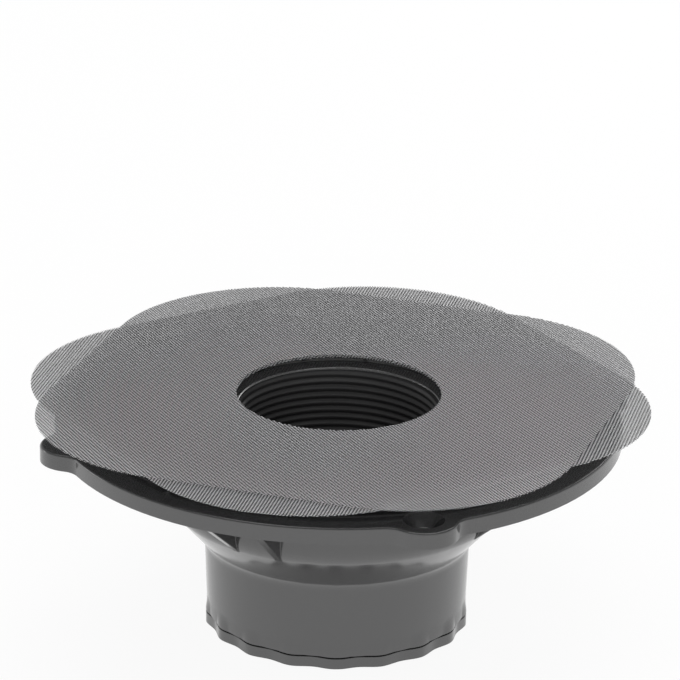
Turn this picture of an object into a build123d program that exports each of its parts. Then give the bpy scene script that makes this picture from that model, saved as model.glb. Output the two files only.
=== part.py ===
from build123d import *
from math import cos, hypot, radians, sin, tan
import os

# Floor drain of the clamping-ring kind for a tiled shower, assembled.
# The body is set in the floor. Its bowl takes the barrel of the clamping ring, four machine
# screws pull the ring down onto the waterproof sheet, and two woven screens lie over the ring
# and keep the bedding out of its weep holes.
# Millimetres, +Z up. The origin is the middle of the flange's top face.

os.makedirs("parts", exist_ok=True)

# Screws and their places: one angle places all that lines up with the screws
screw_count = 4
screw_angle = -117.5
screw_circle_radius = 41.06
screw_radius = 3.175
screw_length = 25.4
screw_tip_chamfer = 0.6
head_radius = 6.15
head_height = 2.4
head_rim_height = 0.3
recess_length = 6.4
recess_width = 1.5
recess_depth = 1.9
recess_taper = 12.0
screw_hole_clearance = 0.225
thread_clearance = 0.06

# Brass inserts
insert_radius = 3.85
insert_length = 12.7
insert_groove_depth = 0.35
insert_groove_width = 1.6

# Flange of the body
flange_radius = 80.8
flange_thickness = 4.7
flange_edge_round = 0.7
groove_radius = 63.5
groove_half_width = 3.3
groove_depth = 2.2

# Fixing ears of the flange
ear_count = 4
ear_offset_angle = 45.0
ear_circle_radius = 77.61
ear_end_radius = 9.5
ear_root_fillet = 6.0
ear_hole_radius = 2.75
ear_sink_radius = 5.65

# Bowl of the body
bowl_mouth_radius = 46.3
bowl_wall = 3.7
bowl_depth = 23.07
bowl_shoulder_round = 8.0
cone_angle = 42.0

# Hub, with the pipe's socket inside
hub_top_radius = 38.1
hub_bottom_radius = 37.4
hub_length = 21.9
hub_root_fillet = 5.0
hub_band_height = 2.1
hub_band_step = 0.2
throat_radius = 27.2
throat_length = 0.85
pipe_radius = 30.16
pipe_clearance = 0.1

# Lobed collar under the hub
lobe_count = 18
lobe_middle_angle = -90.0
lobe_peak_radius = 38.0
lobe_cusp_radius = 36.9
collar_height = 3.5
collar_neck_radius = 35.9
collar_neck_height = 0.4

# Bosses that hold the inserts, and the gussets beside them
boss_radius = 6.6
boss_drop = 1.07
boss_floor_room = 2.7
gusset_spread_angle = 8.0
gusset_thickness = 2.0
gusset_reach = 22.0
gusset_height = 20.6
gusset_toe = 0.8
gusset_tip_inset = 1.8
gusset_root_depth = 2.5
build_overlap = 1.0

# Clamping ring
ring_radius = 70.0
ring_thickness = 4.1
bore_radius = 28.65
bore_mouth_round = 0.6
barrel_radius = 32.15
barrel_length = 35.28
annulus_radius = 34.7
annulus_drop = 0.55
channel_radius = 63.9
channel_half_width = 1.6
channel_depth = 0.8
ridge_depth = 1.6
lip_crown_radius = 2.6

# Weep grooves and notches of the ring
weep_count = 12
weep_offset_angle = 15.0
weep_groove_width = 1.2
weep_groove_depth = 0.8
weep_hole_radius = 1.4
weep_hole_circle_radius = 41.5
notch_width = 3.5
notch_floor_drop = 1.7
notch_end_round = 1.25
notch_root_radius = 68.0

# Screens
screen_side = 155.0
screen_corner_radius = 49.25
screen_hole_radius = 29.08
screen_wall = 0.3
screen_ridge_height = 0.1
screen_angles = {"screen_lower": 32.05, "screen_upper": 70.95}
gaps_across = 12
gap_pitch = 12.4
gap_side = 8.0
gap_edge_room = 1.5
ridges_per_bar = 2
ridge_pitch = 2.4
ridge_width = 0.8

# Places that follow from the sizes above
cone_slope = tan(radians(cone_angle))
bowl_outer_radius = bowl_mouth_radius + bowl_wall
cone_wall_inset = bowl_wall / cos(radians(cone_angle))
hub_top_z = -bowl_depth - (bowl_outer_radius - hub_top_radius) / cone_slope
hub_bottom_z = hub_top_z - hub_length
foot_z = hub_bottom_z - collar_height
inner_corner_z = -bowl_depth + (cone_wall_inset - bowl_wall) / cone_slope
throat_top_z = -bowl_depth + (throat_radius - bowl_outer_radius + cone_wall_inset) / cone_slope
socket_top_z = throat_top_z - throat_length
socket_radius = pipe_radius + pipe_clearance
lobe_spacing = 360 / lobe_count
band_top_z = hub_bottom_z + hub_band_height
band_core_radius = lobe_cusp_radius - build_overlap
boss_top_z = -boss_drop
screw_tip_z = ring_thickness - screw_length
screw_hole_radius = screw_radius + screw_hole_clearance
boss_hole_depth = boss_top_z - screw_tip_z + boss_floor_room
head_top_z = ring_thickness + head_height
annulus_z = ring_thickness - annulus_drop
barrel_bottom_z = annulus_z - barrel_length
channel_inner_radius = channel_radius - channel_half_width
channel_outer_radius = channel_radius + channel_half_width
lip_heel_radius = ring_thickness - lip_crown_radius
notch_half_width = notch_width / 2
notch_floor_z = ring_thickness - notch_floor_drop
notch_round_z = ring_thickness - notch_end_round
notch_top_half_width = notch_half_width + notch_end_round
screen_thickness = screen_wall + 2 * screen_ridge_height
ear_angle = screw_angle + ear_offset_angle
weep_angle = screw_angle + weep_offset_angle


def plan_point(radius: float, angle: float) -> tuple[float, float]:
    """The plan position at a radius and an angle in degrees."""
    return (radius * cos(radians(angle)), radius * sin(radians(angle)))


def lobed_line(peak_radius: float, cusp_radius: float) -> Spline:
    """A closed line with a smooth wave to each lobe, added to the open BuildLine."""
    spots = []
    directions = []
    for half_wave in range(2 * lobe_count):
        wave_angle = lobe_middle_angle + half_wave * lobe_spacing / 2
        wave_radius = cusp_radius if half_wave % 2 else peak_radius
        spots.append(plan_point(wave_radius, wave_angle))
        directions.append(plan_point(1, wave_angle + 90))
    return Spline(*spots, tangents=directions, periodic=True)


# Space inside the body's outer skin, which the boss columns are trimmed to
with BuildPart() as bowl_envelope:
    with BuildSketch(Plane.XZ):
        with BuildLine():
            Polyline(
                (0, 0),
                (bowl_outer_radius - build_overlap, 0),
                (bowl_outer_radius - build_overlap, -bowl_depth),
                (hub_top_radius - build_overlap, hub_top_z),
                (0, hub_top_z),
                close=True,
            )
        make_face()
    revolve(axis=Axis.Z)

# Boss columns, joined to the bowl's wall, from their tops down to the cone
with BuildPart() as boss_columns:
    with BuildSketch(Plane.XY.offset(boss_top_z)):
        with PolarLocations(screw_circle_radius, screw_count, start_angle=screw_angle):
            Circle(boss_radius)
            Rectangle(bowl_wall + boss_radius, 2 * boss_radius, align=(Align.MIN, Align.CENTER))
    extrude(amount=hub_top_z - boss_top_z)
    add(bowl_envelope.part, mode=Mode.INTERSECT)

# One gusset, in the plane of +X, under the flange and against the bowl
with BuildPart() as gusset:
    with BuildSketch(Plane.XZ):
        with BuildLine():
            Polyline(
                (bowl_outer_radius - gusset_root_depth, build_overlap - flange_thickness),
                (bowl_outer_radius + gusset_reach, build_overlap - flange_thickness),
                (bowl_outer_radius + gusset_reach, -flange_thickness - gusset_toe),
                (bowl_outer_radius - gusset_tip_inset, -flange_thickness - gusset_height),
                (bowl_outer_radius - gusset_root_depth, -flange_thickness - gusset_height),
                close=True,
            )
        make_face()
    extrude(amount=gusset_thickness / 2, both=True)

# Band at the hub's foot, which swells from round into lobes
with BuildPart() as hub_band:
    with BuildSketch(Plane.XY.offset(hub_bottom_z)):
        with BuildLine():
            lobed_line(lobe_peak_radius, lobe_cusp_radius)
        make_face()
    with BuildSketch(Plane.XY.offset(band_top_z)):
        with BuildLine():
            lobed_line(hub_bottom_radius - hub_band_step, hub_bottom_radius - hub_band_step)
        make_face()
    loft()
    with BuildSketch(Plane.XY.offset(hub_bottom_z)):
        Circle(band_core_radius - build_overlap)
    extrude(amount=hub_band_height, mode=Mode.SUBTRACT)

# Drain body: flange with ears, bowl, hub, bosses and gussets in one moulding
with BuildPart() as drain_body:
    with BuildSketch() as flange_outline:
        with PolarLocations(0, 1, start_angle=ear_angle):
            Circle(flange_radius)
        with PolarLocations(ear_circle_radius, ear_count, start_angle=ear_angle):
            Circle(ear_end_radius)
        ear_roots = flange_outline.vertices().sort_by_distance((0, 0))[: 2 * ear_count]
        fillet(ear_roots, ear_root_fillet)
        Circle(bowl_mouth_radius, mode=Mode.SUBTRACT)
    extrude(amount=-flange_thickness)
    fillet(drain_body.faces().sort_by(Axis.Z)[-1].edges(), flange_edge_round)
    with BuildSketch(Plane.XZ):
        with BuildLine():
            FilletPolyline(
                (bowl_mouth_radius, build_overlap - flange_thickness),
                (bowl_outer_radius, build_overlap - flange_thickness),
                (bowl_outer_radius, -bowl_depth),
                (hub_top_radius, hub_top_z),
                (hub_bottom_radius, band_top_z),
                (band_core_radius, band_top_z),
                (band_core_radius, hub_bottom_z),
                (socket_radius, hub_bottom_z),
                (socket_radius, socket_top_z),
                (throat_radius, socket_top_z),
                (throat_radius, throat_top_z),
                (bowl_mouth_radius, inner_corner_z),
                radius=[0, 0, bowl_shoulder_round, hub_root_fillet, 0, 0, 0, 0, 0, 0, 0, 0],
                close=True,
            )
        make_face()
    revolve(axis=Axis.Z)
    add(boss_columns.part)
    add(hub_band.part)
    with PolarLocations(0, screw_count, start_angle=screw_angle - gusset_spread_angle):
        add(gusset.part)
    with PolarLocations(0, screw_count, start_angle=screw_angle + gusset_spread_angle):
        add(gusset.part)
    with Locations((0, 0, boss_top_z)):
        with PolarLocations(screw_circle_radius, screw_count, start_angle=screw_angle):
            CounterBoreHole(
                radius=screw_hole_radius,
                counter_bore_radius=insert_radius,
                counter_bore_depth=insert_length,
                depth=boss_hole_depth,
            )
    with PolarLocations(ear_circle_radius, ear_count, start_angle=ear_angle):
        CounterSinkHole(radius=ear_hole_radius, counter_sink_radius=ear_sink_radius)
    with BuildSketch(Plane.XZ):
        with BuildLine():
            ThreePointArc(
                (groove_radius - groove_half_width, 0),
                (groove_radius, -groove_depth),
                (groove_radius + groove_half_width, 0),
            )
            Line((groove_radius + groove_half_width, 0), (groove_radius - groove_half_width, 0))
        make_face()
    revolve(axis=Axis.Z, mode=Mode.SUBTRACT)
drain_body.part.label = "drain_body"
export_step(drain_body.part, "parts/drain_body.step")

# Lobed collar under the hub, with a plain neck that leaves a dark seam
with BuildPart() as hub_collar:
    with BuildSketch(Plane.XY.offset(foot_z)):
        with BuildLine():
            lobed_line(lobe_peak_radius, lobe_cusp_radius)
        make_face()
        Circle(socket_radius, mode=Mode.SUBTRACT)
    extrude(amount=collar_height - collar_neck_height)
    with BuildSketch(Plane.XY.offset(hub_bottom_z - collar_neck_height)):
        Circle(collar_neck_radius)
        Circle(socket_radius, mode=Mode.SUBTRACT)
    extrude(amount=collar_neck_height)
hub_collar.part.label = "hub_collar"
export_step(hub_collar.part, "parts/hub_collar.step")

# Brass insert, with a retaining groove round its middle
with BuildPart() as insert:
    with BuildSketch(Plane.XY.offset(boss_top_z)):
        Circle(insert_radius)
        Circle(screw_radius + thread_clearance, mode=Mode.SUBTRACT)
    extrude(amount=-insert_length)
    with BuildSketch(Plane.XY.offset(boss_top_z - insert_length / 2)):
        Circle(insert_radius)
        Circle(insert_radius - insert_groove_depth, mode=Mode.SUBTRACT)
    extrude(amount=insert_groove_width / 2, both=True, mode=Mode.SUBTRACT)

# Clamp screw: low domed head with a cross recess, and a plain shank where the thread runs
with BuildPart() as screw:
    with BuildSketch(Plane.XZ):
        with BuildLine():
            Polyline(
                (0, head_top_z),
                (0, screw_tip_z),
                (screw_radius - screw_tip_chamfer, screw_tip_z),
                (screw_radius, screw_tip_z + screw_tip_chamfer),
                (screw_radius, ring_thickness),
                (head_radius, ring_thickness),
                (head_radius, ring_thickness + head_rim_height),
            )
            TangentArc(
                (0, head_top_z),
                (head_radius, ring_thickness + head_rim_height),
                tangent=(1, 0),
            )
        make_face()
    revolve(axis=Axis.Z)
    with BuildSketch(Plane.XY.offset(head_top_z)):
        Rectangle(recess_length, recess_width)
        Rectangle(recess_width, recess_length)
    extrude(amount=-recess_depth, taper=recess_taper, mode=Mode.SUBTRACT)

for number in range(screw_count):
    angle = screw_angle + number * 360 / screw_count
    with BuildPart() as brass_insert:
        with Locations(plan_point(screw_circle_radius, angle)):
            add(insert.part)
    brass_insert.part.label = f"brass_insert_{number + 1}"
    export_step(brass_insert.part, f"parts/{brass_insert.part.label}.step")
    with BuildPart() as clamp_screw:
        with Locations(Location(plan_point(screw_circle_radius, angle), angle)):
            add(screw.part)
    clamp_screw.part.label = f"clamp_screw_{number + 1}"
    export_step(clamp_screw.part, f"parts/{clamp_screw.part.label}.step")

# Tool that cuts one weep groove and one notch of the lip, in the plane of +X
with BuildPart() as weep_cutter:
    with BuildSketch(Plane.XY.offset(ring_thickness)):
        with Locations(((annulus_radius + channel_radius) / 2, 0)):
            Rectangle(channel_radius - annulus_radius, weep_groove_width)
    extrude(amount=-weep_groove_depth)
    with BuildSketch(Plane.YZ.offset(channel_outer_radius)):
        with BuildLine():
            Polyline(
                (-notch_half_width, notch_round_z),
                (-notch_half_width, notch_floor_z),
                (notch_half_width, notch_floor_z),
                (notch_half_width, notch_round_z),
            )
            CenterArc(
                center=(notch_top_half_width, notch_round_z),
                radius=notch_end_round,
                start_angle=90,
                arc_size=90,
            )
            Polyline(
                (notch_top_half_width, ring_thickness),
                (notch_top_half_width, ring_thickness + build_overlap),
                (-notch_top_half_width, ring_thickness + build_overlap),
                (-notch_top_half_width, ring_thickness),
            )
            CenterArc(
                center=(-notch_top_half_width, notch_round_z),
                radius=notch_end_round,
                start_angle=0,
                arc_size=90,
            )
        make_face()
    extrude(amount=ring_radius)
    with BuildSketch(Plane.XY.offset(-ridge_depth)):
        with Locations((notch_root_radius + ring_radius / 2, 0)):
            Rectangle(ring_radius, notch_width)
    extrude(amount=ring_thickness + ridge_depth)

# Clamping ring with its barrel
with BuildPart() as clamping_ring:
    with BuildSketch(Plane.XZ):
        with BuildLine():
            Polyline(
                (channel_inner_radius, ring_thickness),
                (annulus_radius, ring_thickness),
                (annulus_radius, annulus_z),
                (bore_radius + bore_mouth_round, annulus_z),
            )
            CenterArc(
                center=(bore_radius + bore_mouth_round, annulus_z - bore_mouth_round),
                radius=bore_mouth_round,
                start_angle=90,
                arc_size=90,
            )
            Polyline(
                (bore_radius, annulus_z - bore_mouth_round),
                (bore_radius, barrel_bottom_z),
                (barrel_radius, barrel_bottom_z),
                (barrel_radius, 0),
                (channel_inner_radius, 0),
            )
            ThreePointArc(
                (channel_inner_radius, 0),
                (channel_radius, -ridge_depth),
                (channel_outer_radius, 0),
            )
            Line((channel_outer_radius, 0), (ring_radius - lip_heel_radius, 0))
            CenterArc(
                center=(ring_radius - lip_heel_radius, lip_heel_radius),
                radius=lip_heel_radius,
                start_angle=270,
                arc_size=90,
            )
            CenterArc(
                center=(ring_radius - lip_crown_radius, ring_thickness - lip_crown_radius),
                radius=lip_crown_radius,
                start_angle=0,
                arc_size=90,
            )
            Line(
                (ring_radius - lip_crown_radius, ring_thickness),
                (channel_outer_radius, ring_thickness),
            )
            ThreePointArc(
                (channel_outer_radius, ring_thickness),
                (channel_radius, ring_thickness - channel_depth),
                (channel_inner_radius, ring_thickness),
            )
        make_face()
    revolve(axis=Axis.Z)
    with PolarLocations(0, weep_count, start_angle=weep_angle):
        add(weep_cutter.part, mode=Mode.SUBTRACT)
    with PolarLocations(weep_hole_circle_radius, weep_count, start_angle=weep_angle):
        Hole(weep_hole_radius)
    with PolarLocations(screw_circle_radius, screw_count, start_angle=screw_angle):
        Hole(screw_hole_radius)
clamping_ring.part.label = "clamping_ring"
export_step(clamping_ring.part, "parts/clamping_ring.step")


def gap_is_clear(x: float, y: float) -> bool:
    """Whether a gap at a place on the screen leaves a whole edge round it."""
    room = gap_side / 2 + gap_edge_room
    straight = screen_side / 2 - screen_corner_radius
    past_x = max(abs(x) - straight, 0)
    past_y = max(abs(y) - straight, 0)
    inside_outline = hypot(past_x, past_y) < screen_corner_radius - room
    return inside_outline and hypot(x, y) > screen_hole_radius + room


with BuildSketch() as screen_outline:
    RectangleRounded(screen_side, screen_side, screen_corner_radius)
    Circle(screen_hole_radius, mode=Mode.SUBTRACT)

# One screen of wire cloth: a wall with a grid of gaps, its weft raised above and its warp below
with BuildPart() as screen_cloth:
    with BuildSketch(Plane.XY.offset(screen_ridge_height)):
        add(screen_outline.sketch)
        gap_grid = GridLocations(gap_pitch, gap_pitch, gaps_across, gaps_across)
        gaps = [spot for spot in gap_grid if gap_is_clear(spot.position.X, spot.position.Y)]
        with Locations(*gaps):
            Rectangle(gap_side, gap_side, mode=Mode.SUBTRACT)
    extrude(amount=screen_wall)
    with BuildSketch():
        with GridLocations(gap_pitch, 0, gaps_across + 1, 1):
            with GridLocations(ridge_pitch, 0, ridges_per_bar, 1):
                Rectangle(ridge_width, screen_side)
        add(screen_outline.sketch, mode=Mode.INTERSECT)
    extrude(amount=screen_ridge_height)
    with BuildSketch(Plane.XY.offset(screen_thickness)):
        with GridLocations(0, gap_pitch, 1, gaps_across + 1):
            with GridLocations(0, ridge_pitch, 1, ridges_per_bar):
                Rectangle(screen_side, ridge_width)
        add(screen_outline.sketch, mode=Mode.INTERSECT)
    extrude(amount=-screen_ridge_height)

# The two screens, stacked on the screw heads and turned apart
for level, name in enumerate(screen_angles):
    with BuildPart() as screen:
        with Locations(Location((0, 0, head_top_z + level * screen_thickness), screen_angles[name])):
            add(screen_cloth.part)
    screen.part.label = name
    export_step(screen.part, f"parts/{name}.step")
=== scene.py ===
"""The looks of a clamping-ring floor drain: black mouldings, brass inserts, screws, wire cloth."""

import logging
from dataclasses import dataclass, field
from enum import Enum
from math import atan2, ceil, cos, pi, radians, sin, sqrt, tau
from typing import Callable, Iterable

import bmesh
import bpy
from bpy.types import Material, Mesh, Node, NodeSocket, NodeTree, Object
from mathutils import Matrix, Vector

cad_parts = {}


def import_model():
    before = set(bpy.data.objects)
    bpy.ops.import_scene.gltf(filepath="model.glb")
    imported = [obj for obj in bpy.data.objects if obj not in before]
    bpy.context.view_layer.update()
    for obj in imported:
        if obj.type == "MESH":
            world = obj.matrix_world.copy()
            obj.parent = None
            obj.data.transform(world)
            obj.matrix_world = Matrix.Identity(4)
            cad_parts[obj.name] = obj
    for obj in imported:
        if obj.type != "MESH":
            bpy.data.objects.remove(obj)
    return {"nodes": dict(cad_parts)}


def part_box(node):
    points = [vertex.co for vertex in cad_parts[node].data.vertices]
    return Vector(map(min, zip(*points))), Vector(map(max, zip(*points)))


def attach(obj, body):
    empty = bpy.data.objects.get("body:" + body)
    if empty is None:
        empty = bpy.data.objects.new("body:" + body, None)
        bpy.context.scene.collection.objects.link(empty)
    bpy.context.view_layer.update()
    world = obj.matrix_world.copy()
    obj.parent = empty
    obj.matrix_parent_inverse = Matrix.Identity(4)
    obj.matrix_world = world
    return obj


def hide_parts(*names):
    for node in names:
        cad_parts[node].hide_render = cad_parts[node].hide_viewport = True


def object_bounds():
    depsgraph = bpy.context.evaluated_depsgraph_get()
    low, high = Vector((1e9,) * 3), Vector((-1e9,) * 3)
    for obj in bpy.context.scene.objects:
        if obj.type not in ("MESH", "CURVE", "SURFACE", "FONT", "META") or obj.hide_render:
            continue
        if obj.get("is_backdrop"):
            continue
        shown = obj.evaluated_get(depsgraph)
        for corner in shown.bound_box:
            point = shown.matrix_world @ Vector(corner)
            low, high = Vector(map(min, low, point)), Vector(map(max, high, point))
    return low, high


MM = 0.001
NOISE_RANGE = (0.3, 0.7)
EDGE_SAMPLES = 6
LOG = logging.getLogger("floor_drain")
Point = tuple[float, float, float]
Colour = tuple[float, float, float]
Pair = tuple[float, float]
Profile = Callable[[float, float], float]


class Body(Enum):
    """The bodies that pieces ride on."""

    DRAIN = "drain"
    CLAMP = "clamp"
    SCREENS = "screens"


class Slot(Enum):
    """Material slot names."""

    PLASTIC = "black_plastic"
    BRASS = "brass"
    STEEL = "stainless"
    CLOTH = "wire_cloth"


def new_material(name: str) -> tuple[Material, NodeTree, Node]:
    """Makes a material with one Principled shader.

    Args:
        name: The material's name.

    Returns:
        The material, its node tree and the shader node.
    """
    material = bpy.data.materials.new(name)
    material.use_nodes = True
    tree = material.node_tree
    return material, tree, tree.nodes["Principled BSDF"]


def object_noise(tree: NodeTree, scale: float, detail: float, stretch: Point = (1, 1, 1)) -> NodeSocket:
    """Adds a noise pattern that is fixed to the piece.

    Args:
        tree: The material's nodes.
        scale: Cells to the metre.
        detail: Octaves of the noise.
        stretch: How much finer the pattern is along each axis.

    Returns:
        The noise's output.
    """
    place = tree.nodes.new("ShaderNodeTexCoord")
    mapping = tree.nodes.new("ShaderNodeMapping")
    mapping.inputs["Scale"].default_value = stretch
    noise = tree.nodes.new("ShaderNodeTexNoise")
    noise.inputs["Scale"].default_value = scale
    noise.inputs["Detail"].default_value = detail
    tree.links.new(place.outputs["Object"], mapping.inputs["Vector"])
    tree.links.new(mapping.outputs["Vector"], noise.inputs["Vector"])
    return noise.outputs["Fac"]


def blend_colours(tree: NodeTree, factor: NodeSocket, low: Colour, high: Colour) -> NodeSocket:
    """Adds a mix of two colours that follows a pattern.

    Args:
        tree: The material's nodes.
        factor: The pattern's output, from 0 to 1.
        low: The colour where the pattern is 0.
        high: The colour where the pattern is 1.

    Returns:
        The mixed colour's output.
    """
    mix = tree.nodes.new("ShaderNodeMix")
    mix.data_type = "RGBA"
    mix.inputs["A"].default_value = (*low, 1)
    mix.inputs["B"].default_value = (*high, 1)
    tree.links.new(factor, mix.inputs["Factor"])
    return mix.outputs["Result"]


def map_range(
    tree: NodeTree,
    value: NodeSocket,
    source: Pair,
    result: Pair,
    kind: str = "LINEAR",
) -> NodeSocket:
    """Adds a number that runs from one end to another as a value does.

    Args:
        tree: The nodes of a material or the world.
        value: The value's output.
        source: The value at either end.
        result: The number at either end.
        kind: How it runs between them, by Blender's name.

    Returns:
        The number's output.
    """
    node = tree.nodes.new("ShaderNodeMapRange")
    node.interpolation_type = kind
    for name, end in zip(("From Min", "From Max", "To Min", "To Max"), (*source, *result)):
        node.inputs[name].default_value = end
    tree.links.new(value, node.inputs["Value"])
    return node.outputs["Result"]


def add_bump(tree: NodeTree, shader: Node, height: NodeSocket, depth: float, edge: float = 0.0) -> None:
    """Gives a shader a fine relief.

    Args:
        tree: The material's nodes.
        shader: The Principled shader.
        height: The relief's pattern.
        depth: The relief's depth in metres.
        edge: The radius in metres that sharp edges are shaded with; 0 leaves them sharp.
    """
    bump = tree.nodes.new("ShaderNodeBump")
    bump.inputs["Strength"].default_value = 1.0
    bump.inputs["Distance"].default_value = depth
    tree.links.new(height, bump.inputs["Height"])
    if edge:
        rounded = tree.nodes.new("ShaderNodeBevel")
        rounded.samples = EDGE_SAMPLES
        rounded.inputs["Radius"].default_value = edge
        tree.links.new(rounded.outputs["Normal"], bump.inputs["Normal"])
    tree.links.new(bump.outputs["Normal"], shader.inputs["Normal"])


@dataclass(frozen=True)
class SolidFinish:
    """A finish with faint patches in its colour and shine, and a fine grain.

    Attributes:
        name: The material's name.
        colour: Its colour.
        patch_colour: The colour of its patches.
        roughness: The shine's least and most roughness.
        patch_scale: Patches to the metre.
        grain_scale: Grains or tool marks to the metre.
        grain_stretch: How much finer the grain is along each axis.
        patch_detail: Octaves of the patches' noise.
        grain_detail: Octaves of the grain's noise.
        grain_depth: The grain's depth in metres.
        edge_radius: The radius of its edges in metres; 0 leaves them sharp.
    """

    name: str
    colour: Colour
    patch_colour: Colour
    roughness: Pair
    patch_scale: float
    grain_scale: float
    grain_stretch: Point = (1, 1, 1)
    patch_detail: float = 3.0
    grain_detail: float = 2.0
    grain_depth: float = 0.000004
    edge_radius: float = 0.0

    def settings(self) -> dict[str, float]:
        """The shader's further inputs by name."""
        return {}

    def make(self) -> Material:
        """Makes the material.

        Returns:
            The material.
        """
        material, tree, shader = new_material(self.name)
        patches = object_noise(tree, self.patch_scale, self.patch_detail)
        grain = object_noise(tree, self.grain_scale, self.grain_detail, self.grain_stretch)
        tint = blend_colours(tree, patches, self.colour, self.patch_colour)
        tree.links.new(tint, shader.inputs["Base Color"])
        shine = map_range(tree, patches, NOISE_RANGE, self.roughness)
        tree.links.new(shine, shader.inputs["Roughness"])
        for title, value in self.settings().items():
            shader.inputs[title].default_value = value
        add_bump(tree, shader, grain, self.grain_depth, self.edge_radius)
        return material


@dataclass(frozen=True)
class PlasticFinish(SolidFinish):
    """Glossy moulded plastic, faintly cloudy, with a soft moulding grain.

    Attributes:
        specular: The strength of its shine.
        refraction: Its index of refraction, which sets how the shine grows at the rim.
    """

    name: str = "black_moulded_plastic"
    colour: Colour = (0.018, 0.018, 0.0185)
    patch_colour: Colour = (0.023, 0.023, 0.0235)
    roughness: Pair = (0.1, 0.15)
    patch_scale: float = 40.0
    grain_scale: float = 2600.0
    edge_radius: float = 0.00035
    specular: float = 1.0
    refraction: float = 1.6

    def settings(self) -> dict[str, float]:
        """The shader's further inputs by name."""
        return {"Specular IOR Level": self.specular, "IOR": self.refraction}


@dataclass(frozen=True)
class MetalFinish(SolidFinish):
    """Turned or drawn metal with duller patches and fine tool marks."""

    patch_scale: float = 350.0
    grain_scale: float = 3000.0
    grain_stretch: Point = (1, 1, 0.2)

    def settings(self) -> dict[str, float]:
        """The shader's further inputs by name."""
        return {"Metallic": 1.0}


@dataclass(frozen=True)
class WireFinish:
    """Grey woven wire whose colour carries painted light: each wire is painted pale where it passes over
    another, a painted glint, and dark where it dives, a painted shade.

    Attributes:
        under_shade_colour: The wire's colour where it passes under, dark with painted shade.
        over_glint_colour: Its colour where it passes over, pale with a painted glint.
        roughness: The wire's roughness.
        metallic: How far the wire shines as metal does.
        wave_depth: How far the wires rise and fall, in metres, for the relief.
        contrast: How sharply pale turns to dark.
    """

    # These two colours are painted light: painted shade where a wire dives and a painted glint where it
    # passes over.
    under_shade_colour: Colour = (0.03, 0.03, 0.032)
    over_glint_colour: Colour = (0.7, 0.7, 0.71)
    roughness: float = 0.4
    metallic: float = 0.5
    wave_depth: float = 0.00006
    contrast: float = 3.0

    def make(self, name: str, turn: float, pitch: float, middle: float) -> Material:
        """Makes the material for one cloth.

        Args:
            name: The material's name.
            turn: The cloth's angle in degrees.
            pitch: The distance between wires in metres.
            middle: The height of the cloth's middle in metres.

        Returns:
            The material.
        """
        material, tree, shader = new_material(name)
        link = tree.links.new

        def calculate(operation: str, *terms: float | NodeSocket) -> NodeSocket:
            """Adds one sum.

            Args:
                operation: The sum's kind, by Blender's name.
                terms: Its terms in order, as numbers or sockets.

            Returns:
                The sum's output.
            """
            node = tree.nodes.new("ShaderNodeMath")
            node.operation = operation
            for socket, term in zip(node.inputs, terms):
                if isinstance(term, (int, float)):
                    socket.default_value = term
                else:
                    link(term, socket)
            return node.outputs["Value"]

        place = tree.nodes.new("ShaderNodeTexCoord")
        straight = tree.nodes.new("ShaderNodeVectorRotate")
        straight.rotation_type = "Z_AXIS"
        straight.inputs["Angle"].default_value = -radians(turn)
        split = tree.nodes.new("ShaderNodeSeparateXYZ")
        link(place.outputs["Object"], straight.inputs["Vector"])
        link(straight.outputs["Vector"], split.inputs["Vector"])
        along_x, along_y = (
            calculate("SINE", calculate("MULTIPLY", split.outputs[axis], pi / pitch))
            for axis in ("X", "Y")
        )
        checker = calculate("MULTIPLY", along_x, along_y)
        side = calculate("SIGN", calculate("SUBTRACT", split.outputs["Z"], middle))
        rise = calculate("MULTIPLY", checker, side)
        share = calculate("MULTIPLY_ADD", rise, self.contrast / 2, 0.5)
        share.node.use_clamp = True
        # The base colour follows the weave as painted glints over the crossings and painted shade under
        # them.
        tint = blend_colours(tree, share, self.under_shade_colour, self.over_glint_colour)
        link(tint, shader.inputs["Base Color"])
        shader.inputs["Roughness"].default_value = self.roughness
        shader.inputs["Metallic"].default_value = self.metallic
        add_bump(tree, shader, rise, self.wave_depth)
        return material


def link_piece(name: str, mesh: Mesh) -> Object:
    """Puts a mesh into the scene as a piece at the origin.

    Args:
        name: The piece's name.
        mesh: Its mesh, in place.

    Returns:
        The new object.
    """
    piece = bpy.data.objects.new(name, mesh)
    bpy.context.scene.collection.objects.link(piece)
    return piece


def settled_mesh(worker: Object) -> Mesh:
    """Keeps what an object's modifiers make of it as a plain mesh."""
    graph = bpy.context.evaluated_depsgraph_get()
    return bpy.data.meshes.new_from_object(worker.evaluated_get(graph), depsgraph=graph)


def smooth_by_angle(mesh: Mesh, limit: float) -> None:
    """Shades a mesh smooth, with hard edges where two faces meet at more than an angle.

    Args:
        mesh: The mesh to shade.
        limit: The angle in degrees.
    """
    work = bmesh.new()
    work.from_mesh(mesh)
    for face in work.faces:
        face.smooth = True
    for edge in work.edges:
        edge.smooth = len(edge.link_faces) == 2 and edge.calc_face_angle(0.0) < radians(limit)
    work.to_mesh(mesh)
    work.free()


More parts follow.
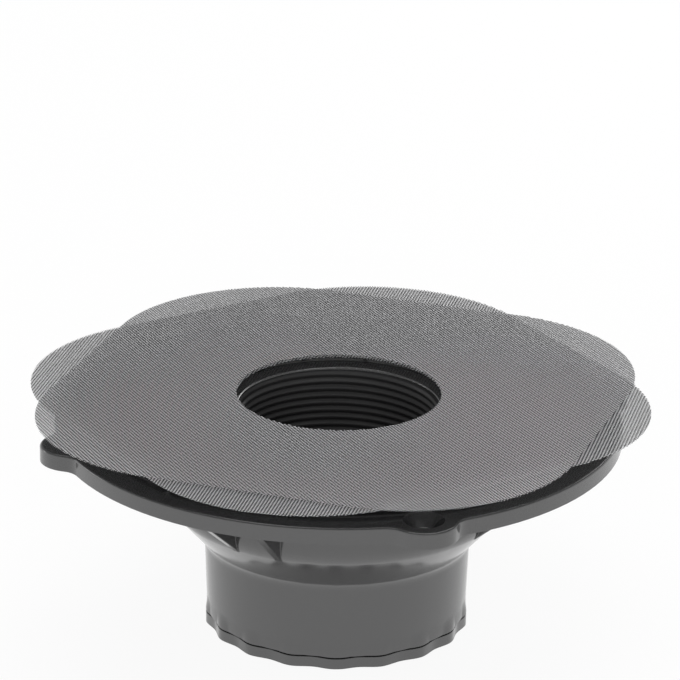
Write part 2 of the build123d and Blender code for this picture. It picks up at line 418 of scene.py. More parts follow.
@dataclass
class Moulding:
    """A CAD node shown as one smooth skin: its triangles are joined and its edges kept crisp.

    Attributes:
        node: The CAD node's name.
        body: The body that carries it.
        slot: Its material slot; not used.
        material: Its finish.
        crease_angle: Faces that meet at more than this many degrees keep a hard edge.
        weld_distance: Points closer than this are joined, in metres.
        flat_angle: Faces that meet at less than this many degrees become one.
        flat_weight: How far large faces outweigh small ones in the shading, from 50 to 100.
    """

    node: str
    body: Body
    slot: Slot
    material: Material
    crease_angle: float = 32.0
    weld_distance: float = 0.000002
    flat_angle: float = 0.3
    flat_weight: int = 100

    def build(self, nodes: dict[str, Object]) -> Object:
        """Makes the piece from the CAD node's shape.

        Args:
            nodes: The frame's nodes by name.

        Returns:
            The piece.
        """
        mesh = nodes[self.node].data.copy()
        work = bmesh.new()
        work.from_mesh(mesh)
        bmesh.ops.remove_doubles(work, verts=work.verts, dist=self.weld_distance)
        flat = radians(self.flat_angle)
        bmesh.ops.dissolve_limit(work, angle_limit=flat, verts=work.verts, edges=work.edges)
        work.to_mesh(mesh)
        work.free()
        mesh.name = f"{self.node}_skin"
        if mesh.has_custom_normals:
            mesh.attributes.remove(mesh.attributes["custom_normal"])
        smooth_by_angle(mesh, self.crease_angle)
        mesh.materials.clear()
        mesh.materials.append(self.material)
        worker = link_piece(f"{self.node}_work", mesh)
        weighted = worker.modifiers.new("flat faces stay flat", "WEIGHTED_NORMAL")
        weighted.keep_sharp = True
        weighted.weight = self.flat_weight
        skin = settled_mesh(worker)
        bpy.data.objects.remove(worker)
        piece = link_piece(f"{self.node}_skin", skin)
        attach(piece, self.body.value)
        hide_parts(self.node)
        return piece


def ring_mesh(name: str, rings: list[list[Point]], closed_loop: bool) -> Mesh:
    """Makes a mesh with faces between rings of points.

    Args:
        name: The mesh's name.
        rings: The rings in order, all with the same number of points.
        closed_loop: Whether the last ring joins the first; otherwise the ends are closed flat.

    Returns:
        The mesh, with its faces pointing outwards.
    """
    work = bmesh.new()
    rows = [[work.verts.new(point) for point in ring] for ring in rings]
    pairs = list(zip(rows, rows[1:]))
    if closed_loop:
        pairs.append((rows[-1], rows[0]))
    else:
        work.faces.new(rows[0])
        work.faces.new(rows[-1])
    for lower, upper in pairs:
        for step in range(len(lower)):
            after = (step + 1) % len(lower)
            work.faces.new((lower[step], lower[after], upper[after], upper[step]))
    bmesh.ops.recalc_face_normals(work, faces=work.faces)
    mesh = bpy.data.meshes.new(name)
    work.to_mesh(mesh)
    work.free()
    return mesh


@dataclass
class Turned:
    """A turned form whose rows of points may carry a screw thread or lobes.

    Attributes:
        around: Points in each row.
        rows: Each row's height and its radius at each angle.
    """

    around: int
    rows: list[tuple[float, Callable[[float], float]]] = field(default_factory=list)

    def plain(self, height: float, radius: float) -> None:
        """Adds a round row."""
        self.rows.append((height, lambda angle: radius))

    def shaped(self, height: float, radius: Profile) -> None:
        """Adds a row whose radius follows a function of height and angle."""
        self.rows.append((height, lambda angle: radius(height, angle)))

    def mesh(self, name: str, closed_loop: bool) -> Mesh:
        """Makes the mesh.

        Args:
            name: The mesh's name.
            closed_loop: Whether the last row joins the first, as on a ring.

        Returns:
            The mesh.
        """
        angles = [tau * step / self.around for step in range(self.around)]
        rings = [
            [(radius(angle) * cos(angle), radius(angle) * sin(angle), height) for angle in angles]
            for height, radius in self.rows
        ]
        return ring_mesh(name, rings, closed_loop)


@dataclass(frozen=True)
class Thread:
    """A right-hand screw thread with flat crests and sloped flanks.

    Attributes:
        pitch: The rise in one turn, in metres.
        crest_radius: The radius of its crests.
        root_radius: The radius of its roots.
        crest_share: The share of the pitch that the flat crest takes.
        root_share: The share of the pitch that the flat root takes.
    """

    pitch: float
    crest_radius: float
    root_radius: float
    crest_share: float = 0.2
    root_share: float = 0.2

    def radius(self, height: float, angle: float) -> float:
        """The thread's radius at a place.

        Args:
            height: The place's height in metres.
            angle: Its angle in radians.

        Returns:
            The radius in metres.
        """
        phase = (height / self.pitch - angle / tau) % 1.0
        from_crest = abs(phase - 0.5) * 2
        flank = 1 - self.crest_share - self.root_share
        depth = min(max((from_crest - self.crest_share) / flank, 0), 1)
        return self.crest_radius + (self.root_radius - self.crest_radius) * depth

    def faded(self, plain_radius: float, start: float, end: float, run: float) -> Profile:
        """The thread's radius where it runs out into a plain wall at both ends.

        Args:
            plain_radius: The wall's radius where there is no thread.
            start: The height where the thread starts.
            end: The height where it ends.
            run: The length over which it fades.

        Returns:
            A function of height and angle.
        """

        def radius(height: float, angle: float) -> float:
            """The blended radius at a height and an angle."""
            share = min(max((height - start) / run, 0), max((end - height) / run, 0), 1)
            return plain_radius + (self.radius(height, angle) - plain_radius) * share

        return radius


def heights(low: float, high: float, step: float) -> list[float]:
    """Even heights from low to high, both kept, no further apart than step."""
    count = max(1, ceil((high - low) / step))
    return [low + (high - low) * number / count for number in range(count + 1)]


@dataclass
class BarrelThread:
    """The 2-inch pipe thread inside the clamping ring's barrel.

    Attributes:
        material: Its finish.
        pitch: The rise in one turn.
        crest_depth: How far the crests stand in from the bore's wall.
        wall_radius: The bore's radius.
        wall_gap: The room between the sleeve and the wall, and the sleeve's least thickness.
        mouth_depth: Where the thread ends, below the ring's top.
        foot_gap: Where it starts, above the barrel's foot.
        around: Points in each row.
        rows_per_pitch: Rows in one turn's rise.
        crease_angle: Faces that meet at more than this many degrees keep a hard edge.
    """

    material: Material
    pitch: float = 25.4 / 11.5 * MM
    crest_depth: float = 0.75 * MM
    wall_radius: float = 28.65 * MM
    wall_gap: float = 0.02 * MM
    mouth_depth: float = 1.3 * MM
    foot_gap: float = 0.3 * MM
    around: int = 144
    rows_per_pitch: int = 10
    crease_angle: float = 60.0

    def build(self) -> Object:
        """Makes the threaded sleeve against the bore's wall.

        Returns:
            The piece.
        """
        low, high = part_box("clamping_ring")
        bottom = low.z + self.foot_gap
        top = high.z - self.mouth_depth
        outer = self.wall_radius - self.wall_gap
        root = outer - self.wall_gap
        thread = Thread(self.pitch, self.wall_radius - self.crest_depth, root)
        radius = thread.faded(root, bottom, top, self.pitch)
        turned = Turned(self.around)
        for height in heights(bottom, top, self.pitch / self.rows_per_pitch):
            turned.shaped(height, radius)
        turned.plain(top, outer)
        turned.plain(bottom, outer)
        mesh = turned.mesh("barrel_thread", closed_loop=True)
        smooth_by_angle(mesh, self.crease_angle)
        mesh.materials.append(self.material)
        piece = link_piece("barrel_thread", mesh)
        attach(piece, Body.CLAMP.value)
        return piece


@dataclass
class HubBand:
    """The soft swelling above the collar, where the hub's wall takes up the collar's lobes.

    Attributes:
        material: Its finish.
        lobes: Lobes round the collar.
        middle_angle: The angle of one lobe's middle in radians.
        peak_radius: The collar's radius at a lobe's middle.
        cusp_radius: Its radius between two lobes.
        wall_radius: The hub's radius just above the collar.
        wall_draft: How much wider the hub gets for each metre of height.
        lift: How far the band covers the wall at its foot.
        sink: How far its top lies inside the wall.
        foot_gap: Where the band starts, above the collar.
        height: The band's height.
        depth: How far it reaches into the wall.
        around: Points in each row.
        rows: Steps from its foot to its top.
        crease_angle: Faces that meet at more than this many degrees keep a hard edge.
    """

    material: Material
    lobes: int = 18
    middle_angle: float = -pi / 2
    peak_radius: float = 38.0 * MM
    cusp_radius: float = 36.9 * MM
    wall_radius: float = 37.41 * MM
    wall_draft: float = 0.0354
    lift: float = 0.03 * MM
    sink: float = 0.12 * MM
    foot_gap: float = 0.12 * MM
    height: float = 4.8 * MM
    depth: float = 0.6 * MM
    around: int = 432
    rows: int = 14
    crease_angle: float = 60.0

    def lobed(self, angle: float) -> float:
        """The collar's radius at an angle."""
        wave = cos(self.lobes * (angle - self.middle_angle)) / 2
        return (self.peak_radius + self.cusp_radius) / 2 + (self.peak_radius - self.cusp_radius) * wave

    def radius(self, share: float, rise: float) -> Profile:
        """The band's radius where it has given up a share of its swelling.

        Args:
            share: 1 at the collar, 0 where the band ends in the wall.
            rise: The height above the collar in metres.

        Returns:
            A function of height and angle.
        """
        wall = self.wall_radius + rise * self.wall_draft

        def at(height: float, angle: float) -> float:
            """The radius at an angle."""
            swell = max(self.lobed(angle) - wall, 0.0)
            return min(wall - self.sink + (self.sink + self.lift + swell) * share, self.peak_radius)

        return at

    def build(self) -> Object:
        """Makes the band and closes it inside the hub's wall.

        Returns:
            The piece.
        """
        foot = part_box("hub_collar")[1].z + self.foot_gap
        turned = Turned(self.around)
        for row in range(self.rows + 1):
            rise = self.height * row / self.rows
            share = cos(pi / 2 * row / self.rows) ** 2
            turned.shaped(foot + rise, self.radius(share, rise))
        turned.plain(foot + self.height, self.wall_radius - self.depth)
        turned.plain(foot, self.wall_radius - self.depth)
        mesh = turned.mesh("hub_band", closed_loop=True)
        smooth_by_angle(mesh, self.crease_angle)
        mesh.materials.append(self.material)
        piece = link_piece("hub_band", mesh)
        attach(piece, Body.DRAIN.value)
        return piece


def new_tree(name: str, inputs: dict[str, str]) -> NodeTree:
    """Makes a node tree with named inputs and nothing in it.

    Args:
        name: The tree's name.
        inputs: The kind of each input between Geometry and Finish, by its name.

    Returns:
        The node tree.
    """
    tree = bpy.data.node_groups.new(name, "GeometryNodeTree")
    kinds = {"Geometry": "NodeSocketGeometry", **inputs, "Finish": "NodeSocketMaterial"}
    for title, kind in kinds.items():
        tree.interface.new_socket(title, in_out="INPUT", socket_type=kind)
    tree.interface.new_socket("Geometry", in_out="OUTPUT", socket_type="NodeSocketGeometry")
    return tree


def end_tree(tree: NodeTree, start: Node, shape: NodeSocket) -> None:
    """Ends a node tree: its instances become real and take the finish.

    Args:
        tree: The node tree.
        start: Its input node.
        shape: The output that carries its shape.
    """
    realize = tree.nodes.new("GeometryNodeRealizeInstances")
    paint = tree.nodes.new("GeometryNodeSetMaterial")
    end = tree.nodes.new("NodeGroupOutput")
    tree.links.new(shape, realize.inputs["Geometry"])
    tree.links.new(realize.outputs["Geometry"], paint.inputs["Geometry"])
    tree.links.new(start.outputs["Finish"], paint.inputs["Material"])
    tree.links.new(paint.outputs["Geometry"], end.inputs["Geometry"])


def instance_tree() -> NodeTree:
    """Makes the tree that sets one mesh on each point of another, at the point's angle.

    Returns:
        The node tree, with the inputs Pattern and Finish.
    """
    tree = new_tree("set on axes", {"Pattern": "NodeSocketObject"})
    start = tree.nodes.new("NodeGroupInput")
    info = tree.nodes.new("GeometryNodeObjectInfo")
    turn = tree.nodes.new("GeometryNodeInputNamedAttribute")
    turn.data_type = "FLOAT_VECTOR"
    turn.inputs["Name"].default_value = "turn"
    place = tree.nodes.new("GeometryNodeInstanceOnPoints")
    tree.links.new(start.outputs["Pattern"], info.inputs["Object"])
    tree.links.new(start.outputs["Geometry"], place.inputs["Points"])
    tree.links.new(info.outputs["Geometry"], place.inputs["Instance"])
    tree.links.new(turn.outputs["Attribute"], place.inputs["Rotation"])
    end_tree(tree, start, place.outputs["Instances"])
    return tree


def wire_tree() -> NodeTree:
    """Makes the tree that turns each edge of a mesh into a round wire.

    Returns:
        The node tree, with the inputs Wire Radius, Wire Sides and Finish.
    """
    inputs = {"Wire Radius": "NodeSocketFloat", "Wire Sides": "NodeSocketInt"}
    tree = new_tree("round wires", inputs)
    start = tree.nodes.new("NodeGroupInput")
    line = tree.nodes.new("GeometryNodeMeshToCurve")
    circle = tree.nodes.new("GeometryNodeCurvePrimitiveCircle")
    sweep = tree.nodes.new("GeometryNodeCurveToMesh")
    sweep.inputs["Fill Caps"].default_value = True
    tree.links.new(start.outputs["Geometry"], line.inputs["Mesh"])
    tree.links.new(start.outputs["Wire Radius"], circle.inputs["Radius"])
    tree.links.new(start.outputs["Wire Sides"], circle.inputs["Resolution"])
    tree.links.new(line.outputs["Curve"], sweep.inputs["Curve"])
    tree.links.new(circle.outputs["Curve"], sweep.inputs["Profile Curve"])
    end_tree(tree, start, sweep.outputs["Mesh"])
    return tree


def run_tree(name: str, base: Mesh, tree: NodeTree, values: dict[str, object]) -> Object:
    """Runs a node tree on a base mesh and keeps the result as a plain mesh.

    Args:
        name: The new piece's name.
        base: The mesh that the tree starts from.
        tree: The node tree.
        values: The tree's inputs by name.

    Returns:
        The piece, with no modifier left on it.
    """
    worker = link_piece(f"{name}_base", base)
    modifier = worker.modifiers.new("nodes", "NODES")
    modifier.node_group = tree
    for item in tree.interface.items_tree:
        if item.in_out == "INPUT" and item.name in values:
            modifier[item.identifier] = values[item.name]
    mesh = settled_mesh(worker)
    mesh.name = name
    bpy.data.objects.remove(worker)
    return link_piece(name, mesh)


@dataclass
class ThreadedSet:
    """Four like parts with a quarter-inch thread, each on the upright axis of a CAD node.

    Attributes:
        material: Their finish.
        pitch: The thread's rise in one turn.
        around: Points in each row.
        rows_per_pitch: Rows in one turn's rise.
        crease_angle: Faces that meet at more than this many degrees keep a hard edge.
    """

    material: Material
    pitch: float = 1.27 * MM
    around: int = 48
    rows_per_pitch: int = 8
    crease_angle: float = 38.0

    def set_out(self, name: str, pattern: Mesh, nodes: tuple[str, ...], tree: NodeTree) -> Object:
        """Sets a pattern on the axis of each CAD node, turned to the node's own angle.

        Args:
            name: The new piece's name.
            pattern: The pattern, made about the frame's axis.
            nodes: The CAD nodes' names.
            tree: The tree that sets a pattern on points.

        Returns:
            The piece.
        """
        centres = [(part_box(node)[0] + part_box(node)[1]) / 2 for node in nodes]
        points = bpy.data.meshes.new(f"{name}_places")
        points.from_pydata([(centre.x, centre.y, 0) for centre in centres], [], [])
        turns = points.attributes.new("turn", "FLOAT_VECTOR", "POINT")
        for number, centre in enumerate(centres):
            turns.data[number].vector = (0, 0, atan2(centre.y, centre.x))
        shape = link_piece(f"{name}_pattern", pattern)
        piece = run_tree(name, points, tree, {"Pattern": shape, "Finish": self.material})
        bpy.data.objects.remove(shape)
        smooth_by_angle(piece.data, self.crease_angle)
        return piece


@dataclass
class ClampScrews(ThreadedSet):
    """Four machine screws with low domed heads and a cross recess.

    Attributes:
        shank_radius: The radius of the thread's crests and of the plain neck.
        root_radius: The radius of the thread's roots.
        head_radius: The head's radius.
        head_height: The head's height at its middle.
        rim_height: The height of the head's upright rim.
        crown_steps: Steps from the rim to the middle of the dome.
        neck_length: The length below the head that has no thread.
        neck_share: The share of the neck over which the thread runs out.
        tip_length: The length of the tapered tip.
        tip_lead: The share of the tip before the thread starts.
        tip_taper: The tip's radius as a share of the root's.
        recess_depth: The cross recess's depth.
        recess_length: The length of the cross from end to end.
        recess_width: The width of its arms.
        recess_foot_share: The cross's size at its foot as a share of that at the top.
        cutter_room: How far the cutter stands above the head.
        cutter_flare: The cutter's size there as a share of that at the head's top.
        nodes: The CAD nodes that they replace.
    """

    shank_radius: float = 3.175 * MM
    root_radius: float = 2.45 * MM
    head_radius: float = 6.15 * MM
    head_height: float = 2.4 * MM
    rim_height: float = 0.3 * MM
    crown_steps: int = 12
    neck_length: float = 0.9 * MM
    neck_share: float = 0.3
    tip_length: float = 0.6 * MM
    tip_lead: float = 0.4
    tip_taper: float = 0.9
    recess_depth: float = 1.9 * MM
    recess_length: float = 6.6 * MM
    recess_width: float = 1.5 * MM
    recess_foot_share: float = 0.6
    cutter_room: float = 1.0 * MM
    cutter_flare: float = 1.05
    nodes: tuple[str, ...] = tuple(f"clamp_screw_{number}" for number in range(1, 5))

    def shape(self, seat: float, tip: float) -> Mesh:
        """Turns one screw about the frame's upright axis.

        Args:
            seat: The height of the head's lower face.
            tip: The height of the screw's tip.

        Returns:
            The screw's mesh.
        """
        turned = Turned(self.around)
        thread = Thread(self.pitch, self.shank_radius, self.root_radius)
        turned.plain(tip, self.root_radius * self.tip_taper)
        start = tip + self.tip_length * self.tip_lead
        stop = seat - self.neck_length
        radius = thread.faded(self.root_radius, tip, stop + self.pitch, self.pitch)
        for height in heights(start, stop, self.pitch / self.rows_per_pitch):
            turned.shaped(height, radius)
        turned.plain(stop + self.neck_length * self.neck_share, self.shank_radius)
        turned.plain(seat, self.shank_radius)
        turned.plain(seat, self.head_radius)
        turned.plain(seat + self.rim_height, self.head_radius)
        crown_height = self.head_height - self.rim_height
        ball = (self.head_radius**2 + crown_height**2) / (2 * crown_height)
        for step in range(self.crown_steps - 1, 0, -1):
            reach = self.head_radius * step / self.crown_steps
            turned.plain(seat + self.head_height - ball + sqrt(ball**2 - reach**2), reach)
        return turned.mesh("screw_blank", closed_loop=False)

    def recess(self, top: float) -> Mesh:
        """Makes the tapered cross that is cut into the head.

        Args:
            top: The height of the head's top.

        Returns:
            The cutter's mesh.
        """
        length, width = self.recess_length / 2, self.recess_width / 2
        arm = [(length, -width), (length, width), (width, width)]
        levels = (
            (top + self.cutter_room, self.cutter_flare),
            (top, 1.0),
            (top - self.recess_depth, self.recess_foot_share),
        )
        turns = [Matrix.Rotation(quarter * pi / 2, 3, "Z") for quarter in range(4)]
        rings = [
            [turn @ Vector((x * share, y * share, height)) for turn in turns for x, y in arm]
            for height, share in levels
        ]
        return ring_mesh("recess_cutter", rings, closed_loop=False)

    def build(self, tree: NodeTree) -> Object:
        """Cuts the recess, sets the screw at each CAD screw's axis and replaces them.

        Args:
            tree: The node tree that sets a pattern on points.

        Returns:
            The piece.
        """
        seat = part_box("clamping_ring")[1].z
        blank = link_piece("screw_pattern", self.shape(seat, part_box(self.nodes[0])[0].z))
        cutter = link_piece("recess_cutter", self.recess(seat + self.head_height))
        cut = blank.modifiers.new("recess", "BOOLEAN")
        cut.operation = "DIFFERENCE"
        cut.solver = "EXACT"
        cut.object = cutter
        piece = self.set_out("clamp_screws", settled_mesh(blank), self.nodes, tree)
        for helper in (blank, cutter):
            bpy.data.objects.remove(helper)
        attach(piece, Body.CLAMP.value)
        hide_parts(*self.nodes)
        return piece


@dataclass
class Inserts(ThreadedSet):
    """Four brass inserts with a thread inside and a plain outside.

    Attributes:
        crest_radius: The radius of the thread's crests.
        root_radius: The radius of its roots.
        outer_radius: The inserts' outer radius.
        mouth_height: The height of the sloped mouth at the top.
        mouth_share: How far the mouth opens, as a share of its height.
        nodes: The CAD nodes that they replace.
    """

    crest_radius: float = 3.235 * MM
    root_radius: float = 3.6 * MM
    outer_radius: float = 3.85 * MM
    mouth_height: float = 0.35 * MM
    mouth_share: float = 0.6
    nodes: tuple[str, ...] = tuple(f"brass_insert_{number}" for number in range(1, 5))

    def build(self, tree: NodeTree) -> Object:
        """Makes the inserts and replaces the CAD ones.

        Args:
            tree: The node tree that sets a pattern on points.

        Returns:
            The piece.
        """
        low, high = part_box(self.nodes[0])
        top = high.z - self.mouth_height
        turned = Turned(self.around)
        thread = Thread(self.pitch, self.crest_radius, self.root_radius)
        radius = thread.faded(self.crest_radius, low.z, top, self.pitch)
        for height in heights(low.z, top, self.pitch / self.rows_per_pitch):
            turned.shaped(height, radius)
        turned.plain(high.z, self.crest_radius + self.mouth_height * self.mouth_share)
        turned.plain(high.z, self.outer_radius)
        turned.plain(low.z, self.outer_radius)
        pattern = turned.mesh("insert_pattern", closed_loop=True)
        piece = self.set_out("brass_inserts", pattern, self.nodes, tree)
        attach(piece, Body.DRAIN.value)
        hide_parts(*self.nodes)
        return piece


@dataclass
class WireScreen:
    """One screen of wire cloth: a rounded square with a round hole, its wires in two layers.

    Attributes:
        node: The CAD node's name.
        turn: The angle of the cloth in degrees.
        finish: Its wire material, with painted glints and painted shade in its colour.
        side: The square's side.
        corner_radius: The radius of its corners.
        hole_radius: The hole's radius.
        pitch: The distance between wires.
        wire_radius: The wires' radius.
        wire_sides: Flat sides round each wire.
        crease_angle: Faces that meet at more than this many degrees keep a hard edge.
    """

    node: str
    turn: float
    finish: WireFinish
    side: float = 154.9 * MM
    corner_radius: float = 49.2 * MM
    hole_radius: float = 29.08 * MM
    pitch: float = 0.62 * MM
    wire_radius: float = 0.105 * MM
    wire_sides: int = 5
    crease_angle: float = 80.0

    def half_length(self, offset: float) -> float:
        """Half the length of one wire.

        Args:
            offset: The wire's distance from the middle in metres.

        Returns:
            The half length in metres.
        """
        straight = self.side / 2 - self.corner_radius
        past = abs(offset) - straight
        if past <= 0:
            return self.side / 2
        return straight + sqrt(max(self.corner_radius**2 - past**2, 0))

    def spans(self, offset: float) -> list[Pair]:
        """The stretches of one wire, without the hole.

        Args:
            offset: The wire's distance from the middle in metres.

        Returns:
            Each stretch's start and end along the wire.
        """
        reach = self.half_length(offset)
        if abs(offset) >= self.hole_radius:
            return [(-reach, reach)]
        gap = sqrt(self.hole_radius**2 - offset**2)
        return [(-reach, -gap), (gap, reach)]

    def build(self, tree: NodeTree) -> Object:
        """Lays the wires and replaces the CAD sheet.

        Args:
            tree: The node tree that rounds the wires.

        Returns:
            The piece.
        """
        low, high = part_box(self.node)
        inset = self.wire_radius
        count = int(self.side / 2 / self.pitch - 0.5)
        offsets = [(number + 0.5) * self.pitch for number in range(-count - 1, count + 1)]
        turn = Matrix.Rotation(radians(self.turn), 3, "Z")
        verts, edges = [], []
        for offset in offsets:
            for start, end in self.spans(offset):
                for height, across in ((low.z + inset, False), (high.z - inset, True)):
                    for along in (start + inset, end - inset):
                        flat = (offset, along) if across else (along, offset)
                        verts.append(turn @ Vector((*flat, height)))
                    edges.append((len(verts) - 2, len(verts) - 1))
        base = bpy.data.meshes.new(f"{self.node}_wires")
        base.from_pydata(verts, edges, [])
        middle = (low.z + high.z) / 2
        values = {
            "Wire Radius": self.wire_radius,
            "Wire Sides": self.wire_sides,
            "Finish": self.finish.make(f"{self.node}_wire", self.turn, self.pitch, middle),
        }
        piece = run_tree(f"{self.node}_cloth", base, tree, values)
        smooth_by_angle(piece.data, self.crease_angle)
        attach(piece, Body.SCREENS.value)
        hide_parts(self.node)
        return piece


@dataclass(frozen=True)
class Lamp:
    """One soft rectangular lamp that points at the object.

    Attributes:
        name: The lamp's name.
        azimuth: Its direction from the object in degrees, from +X towards +Y.
        elevation: Its angle above the horizon in degrees.
        distance: Its distance in metres.
        size: Its width and height in metres.
        glow: How bright its face is.
        mirrored: Whether glossy surfaces show it.
    """

    name: str
    azimuth: float
    elevation: float
    distance: float
    size: Pair
    glow: float
    mirrored: bool = True

    def hang(self) -> None:
        """Puts the lamp into the scene."""
        data = bpy.data.lights.new(self.name, "AREA")
        data.shape = "RECTANGLE"
        data.size, data.size_y = self.size
        data.energy = self.glow * pi * self.size[0] * self.size[1]
        lamp = bpy.data.objects.new(self.name, data)
        bpy.context.scene.collection.objects.link(lamp)
        round_by, up_by = radians(self.azimuth), radians(self.elevation)
        way = Vector((cos(round_by) * cos(up_by), sin(round_by) * cos(up_by), sin(up_by)))
        lamp.location = way * self.distance
        lamp.rotation_mode = "QUATERNION"
        lamp.rotation_quaternion = way.to_track_quat("Z", "Y")
        lamp.visible_glossy = self.mirrored


@dataclass
class Studio:
    """A pale floor, soft lights and the camera at the photograph's angle.

    Attributes:
        camera_place: The camera's place.
        camera_pitch: How far it looks down, in degrees.
        camera_roll: How far it is turned about its line of sight, in degrees.
        lens: Its focal length in millimetres.
        view_reach: How far it sees, in metres.
        floor_reach: Half the floor's side in metres.
        floor_colour: The floor's colour.
        floor_roughness: The floor's roughness.
        floor_white: The floor's own strength for the camera.
        floor_glow: The share of that strength; the rest is the lit floor with its shadow.
        shade_edge: The radii from the axis between which the mirrored floor turns pale.
        mirrored_floor: Its strength in mirrored rays, under the hub, where it is a painted shadow, and
            beyond.
        room_strength: The room's strength overhead.
        horizon_rise: The sines of the angles above the horizon between which it falls from 1.
        lamps: The lamps.
    """

    camera_place: Point = (0.00009, -1.15838, 0.46685)
    camera_pitch: float = 20.96
    camera_roll: float = 0.757
    lens: float = 232.2
    view_reach: float = 50.0
    floor_reach: float = 6.0
    floor_colour: Colour = (0.9, 0.9, 0.9)
    floor_roughness: float = 0.9
    floor_white: float = 1.0
    floor_glow: float = 0.92
    shade_edge: Pair = (34.0 * MM, 38.0 * MM)
    mirrored_floor: Pair = (0.1, 1.0)
    room_strength: float = 0.38
    horizon_rise: Pair = (0.2, 0.32)
    lamps: tuple[Lamp, ...] = (
        Lamp("overhead", azimuth=90, elevation=80, distance=1.6, size=(1.4, 1.4), glow=1.8),
        Lamp("back_right", azimuth=65, elevation=32, distance=1.5, size=(0.5, 1.0), glow=4.0),
        Lamp("back_left", azimuth=160, elevation=12, distance=1.8, size=(0.5, 0.3), glow=2.0),
        Lamp("front_fill", -90, elevation=21, distance=2.0, size=(1.0, 1.0), glow=5.0, mirrored=False),
    )

    def add_camera(self) -> None:
        """Makes the scene's camera."""
        data = bpy.data.cameras.new("camera")
        data.lens = self.lens
        data.clip_end = self.view_reach
        camera = bpy.data.objects.new("camera", data)
        bpy.context.scene.collection.objects.link(camera)
        tilt = Matrix.Rotation(radians(90 - self.camera_pitch), 4, "X")
        roll = Matrix.Rotation(radians(self.camera_roll), 4, "Z")
        camera.matrix_world = Matrix.Translation(self.camera_place) @ tilt @ roll
        bpy.context.scene.camera = camera

    def ray_switch(self, tree: NodeTree, kinds: Iterable[str]) -> NodeSocket:
        """Adds a switch that is 1 for rays of any of the kinds given.

        Args:
            tree: The nodes of the floor or the world.
            kinds: Names of Light Path's outputs.

        Returns:
            The switch's output.
        """
        path = tree.nodes.new("ShaderNodeLightPath")
        first, *others = kinds
        switch = path.outputs[first]
        for name in others:
            either = tree.nodes.new("ShaderNodeMath")
            either.operation = "MAXIMUM"
            tree.links.new(switch, either.inputs[0])
            tree.links.new(path.outputs[name], either.inputs[1])
            switch = either.outputs["Value"]
        return switch

    def under_hub(self, tree: NodeTree) -> NodeSocket:
        """Makes the floor's mirrored strength, which is low under the hub as a painted shadow where no
        light reaches it.

        Args:
            tree: The floor's nodes.

        Returns:
            The strength's output.
        """
        place = tree.nodes.new("ShaderNodeTexCoord")
        flat = tree.nodes.new("ShaderNodeVectorMath")
        flat.operation = "MULTIPLY"
        flat.inputs[1].default_value = (1, 1, 0)
        reach = tree.nodes.new("ShaderNodeVectorMath")
        reach.operation = "LENGTH"
        tree.links.new(place.outputs["Object"], flat.inputs[0])
        tree.links.new(flat.outputs["Vector"], reach.inputs[0])
        # The low end is a painted shadow under the hub in what glossy surfaces mirror.
        ends = (self.shade_edge, self.mirrored_floor)
        return map_range(tree, reach.outputs["Value"], *ends, "SMOOTHSTEP")

    def floor_material(self) -> Material:
        """Makes the floor's material: white to the camera, with the object's shadow left in it.

        Returns:
            The material.
        """
        material, tree, shader = new_material("pale_floor")
        shader.inputs["Base Color"].default_value = (*self.floor_colour, 1)
        shader.inputs["Roughness"].default_value = self.floor_roughness
        seen = tree.nodes.new("ShaderNodeEmission")
        seen.inputs["Strength"].default_value = self.floor_white
        mirrored = tree.nodes.new("ShaderNodeEmission")
        tree.links.new(self.under_hub(tree), mirrored.inputs["Strength"])
        surface = shader.outputs["BSDF"]
        for kinds, glow, share in (
            (("Is Camera Ray", "Is Transmission Ray"), seen, self.floor_glow),
            (("Is Glossy Ray",), mirrored, 1.0),
        ):
            part = tree.nodes.new("ShaderNodeMath")
            part.operation = "MULTIPLY"
            part.inputs[1].default_value = share
            mix = tree.nodes.new("ShaderNodeMixShader")
            tree.links.new(self.ray_switch(tree, kinds), part.inputs[0])
            tree.links.new(part.outputs["Value"], mix.inputs["Fac"])
            tree.links.new(surface, mix.inputs[1])
            tree.links.new(glow.outputs["Emission"], mix.inputs[2])
            surface = mix.outputs["Shader"]
        tree.links.new(surface, tree.nodes["Material Output"].inputs["Surface"])
        return material

    def add_floor(self, height: float) -> None:
        """Lays the floor.

        Args:
            height: The height that the object stands on.
        """
        work = bmesh.new()
        bmesh.ops.create_grid(work, x_segments=1, y_segments=1, size=self.floor_reach)
        bmesh.ops.translate(work, verts=work.verts, vec=(0, 0, height))
        mesh = bpy.data.meshes.new("floor")
        work.to_mesh(mesh)
        work.free()
        mesh.materials.append(self.floor_material())
        link_piece("floor", mesh)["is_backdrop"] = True

    def add_world(self) -> None:
        """Lights the room and keeps its background white."""
        world = bpy.data.worlds.new("room")
        bpy.context.scene.world = world
        world.use_nodes = True
        tree = world.node_tree
        room = tree.nodes["Background"]
        room.inputs["Color"].default_value = (1, 1, 1, 1)
        way = tree.nodes.new("ShaderNodeTexCoord")
        split = tree.nodes.new("ShaderNodeSeparateXYZ")
        tree.links.new(way.outputs["Generated"], split.inputs["Vector"])
        ends = (self.horizon_rise, (1.0, self.room_strength))
        strength = map_range(tree, split.outputs["Z"], *ends, "SMOOTHSTEP")
        tree.links.new(strength, room.inputs["Strength"])
        white = tree.nodes.new("ShaderNodeBackground")
        white.inputs["Color"].default_value = (1, 1, 1, 1)
        mix = tree.nodes.new("ShaderNodeMixShader")
        seen = self.ray_switch(tree, ("Is Camera Ray", "Is Transmission Ray"))
        tree.links.new(seen, mix.inputs["Fac"])
        tree.links.new(room.outputs["Background"], mix.inputs[1])
        tree.links.new(white.outputs["Background"], mix.inputs[2])
        tree.links.new(mix.outputs["Shader"], tree.nodes["World Output"].inputs["Surface"])

    def build(self, floor_height: float) -> None:
        """Makes the whole studio.

        Args:
            floor_height: The height that the object stands on.
        """
        self.add_camera()
        self.add_floor(floor_height)
        self.add_world()
        for lamp in self.lamps:
            lamp.hang()
        bpy.context.scene.view_settings.view_transform = "Standard"


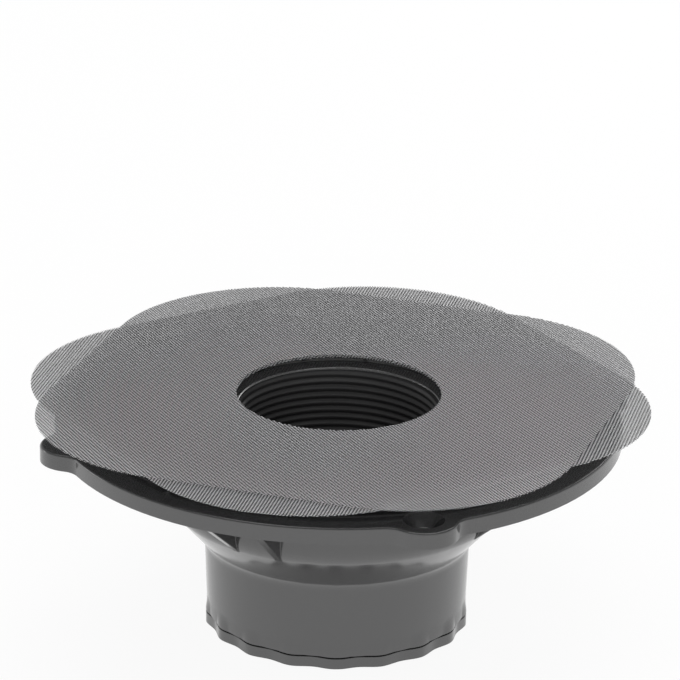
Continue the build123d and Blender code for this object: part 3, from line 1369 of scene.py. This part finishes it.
def main() -> None:
    """Dresses the drain and sets up its studio."""
    logging.basicConfig(level=logging.INFO, format="%(name)s: %(message)s")
    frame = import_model()
    cad_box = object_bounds()
    plastic = PlasticFinish().make()
    soft_plastic = PlasticFinish("soft_edged_plastic", edge_radius=0.0).make()
    dull_plastic = PlasticFinish(
        "threaded_plastic", roughness=(0.4, 0.5), specular=0.4, edge_radius=0.0
    ).make()
    brass = MetalFinish(
        "turned_brass", colour=(0.46, 0.3, 0.075), patch_colour=(0.36, 0.23, 0.055), roughness=(0.22, 0.36)
    ).make()
    steel = MetalFinish(
        "dark_steel", colour=(0.28, 0.275, 0.27), patch_colour=(0.22, 0.215, 0.21), roughness=(0.1, 0.18)
    ).make()
    wire = WireFinish()
    setting = instance_tree()
    rounding = wire_tree()
    pieces = [
        Moulding("drain_body", Body.DRAIN, Slot.PLASTIC, plastic).build(frame["nodes"]),
        Moulding("hub_collar", Body.DRAIN, Slot.PLASTIC, plastic).build(frame["nodes"]),
        Moulding("clamping_ring", Body.CLAMP, Slot.PLASTIC, plastic).build(frame["nodes"]),
        HubBand(soft_plastic).build(),
        BarrelThread(dull_plastic).build(),
        ClampScrews(steel).build(setting),
        Inserts(brass).build(setting),
        WireScreen("screen_lower", 32.05, wire).build(rounding),
        WireScreen("screen_upper", 70.95, wire).build(rounding),
    ]
    for piece in pieces:
        LOG.info("%s has %d faces", piece.name, len(piece.data.polygons))
    Studio().build(cad_box[0].z)


if __name__ == "__main__":
    main()
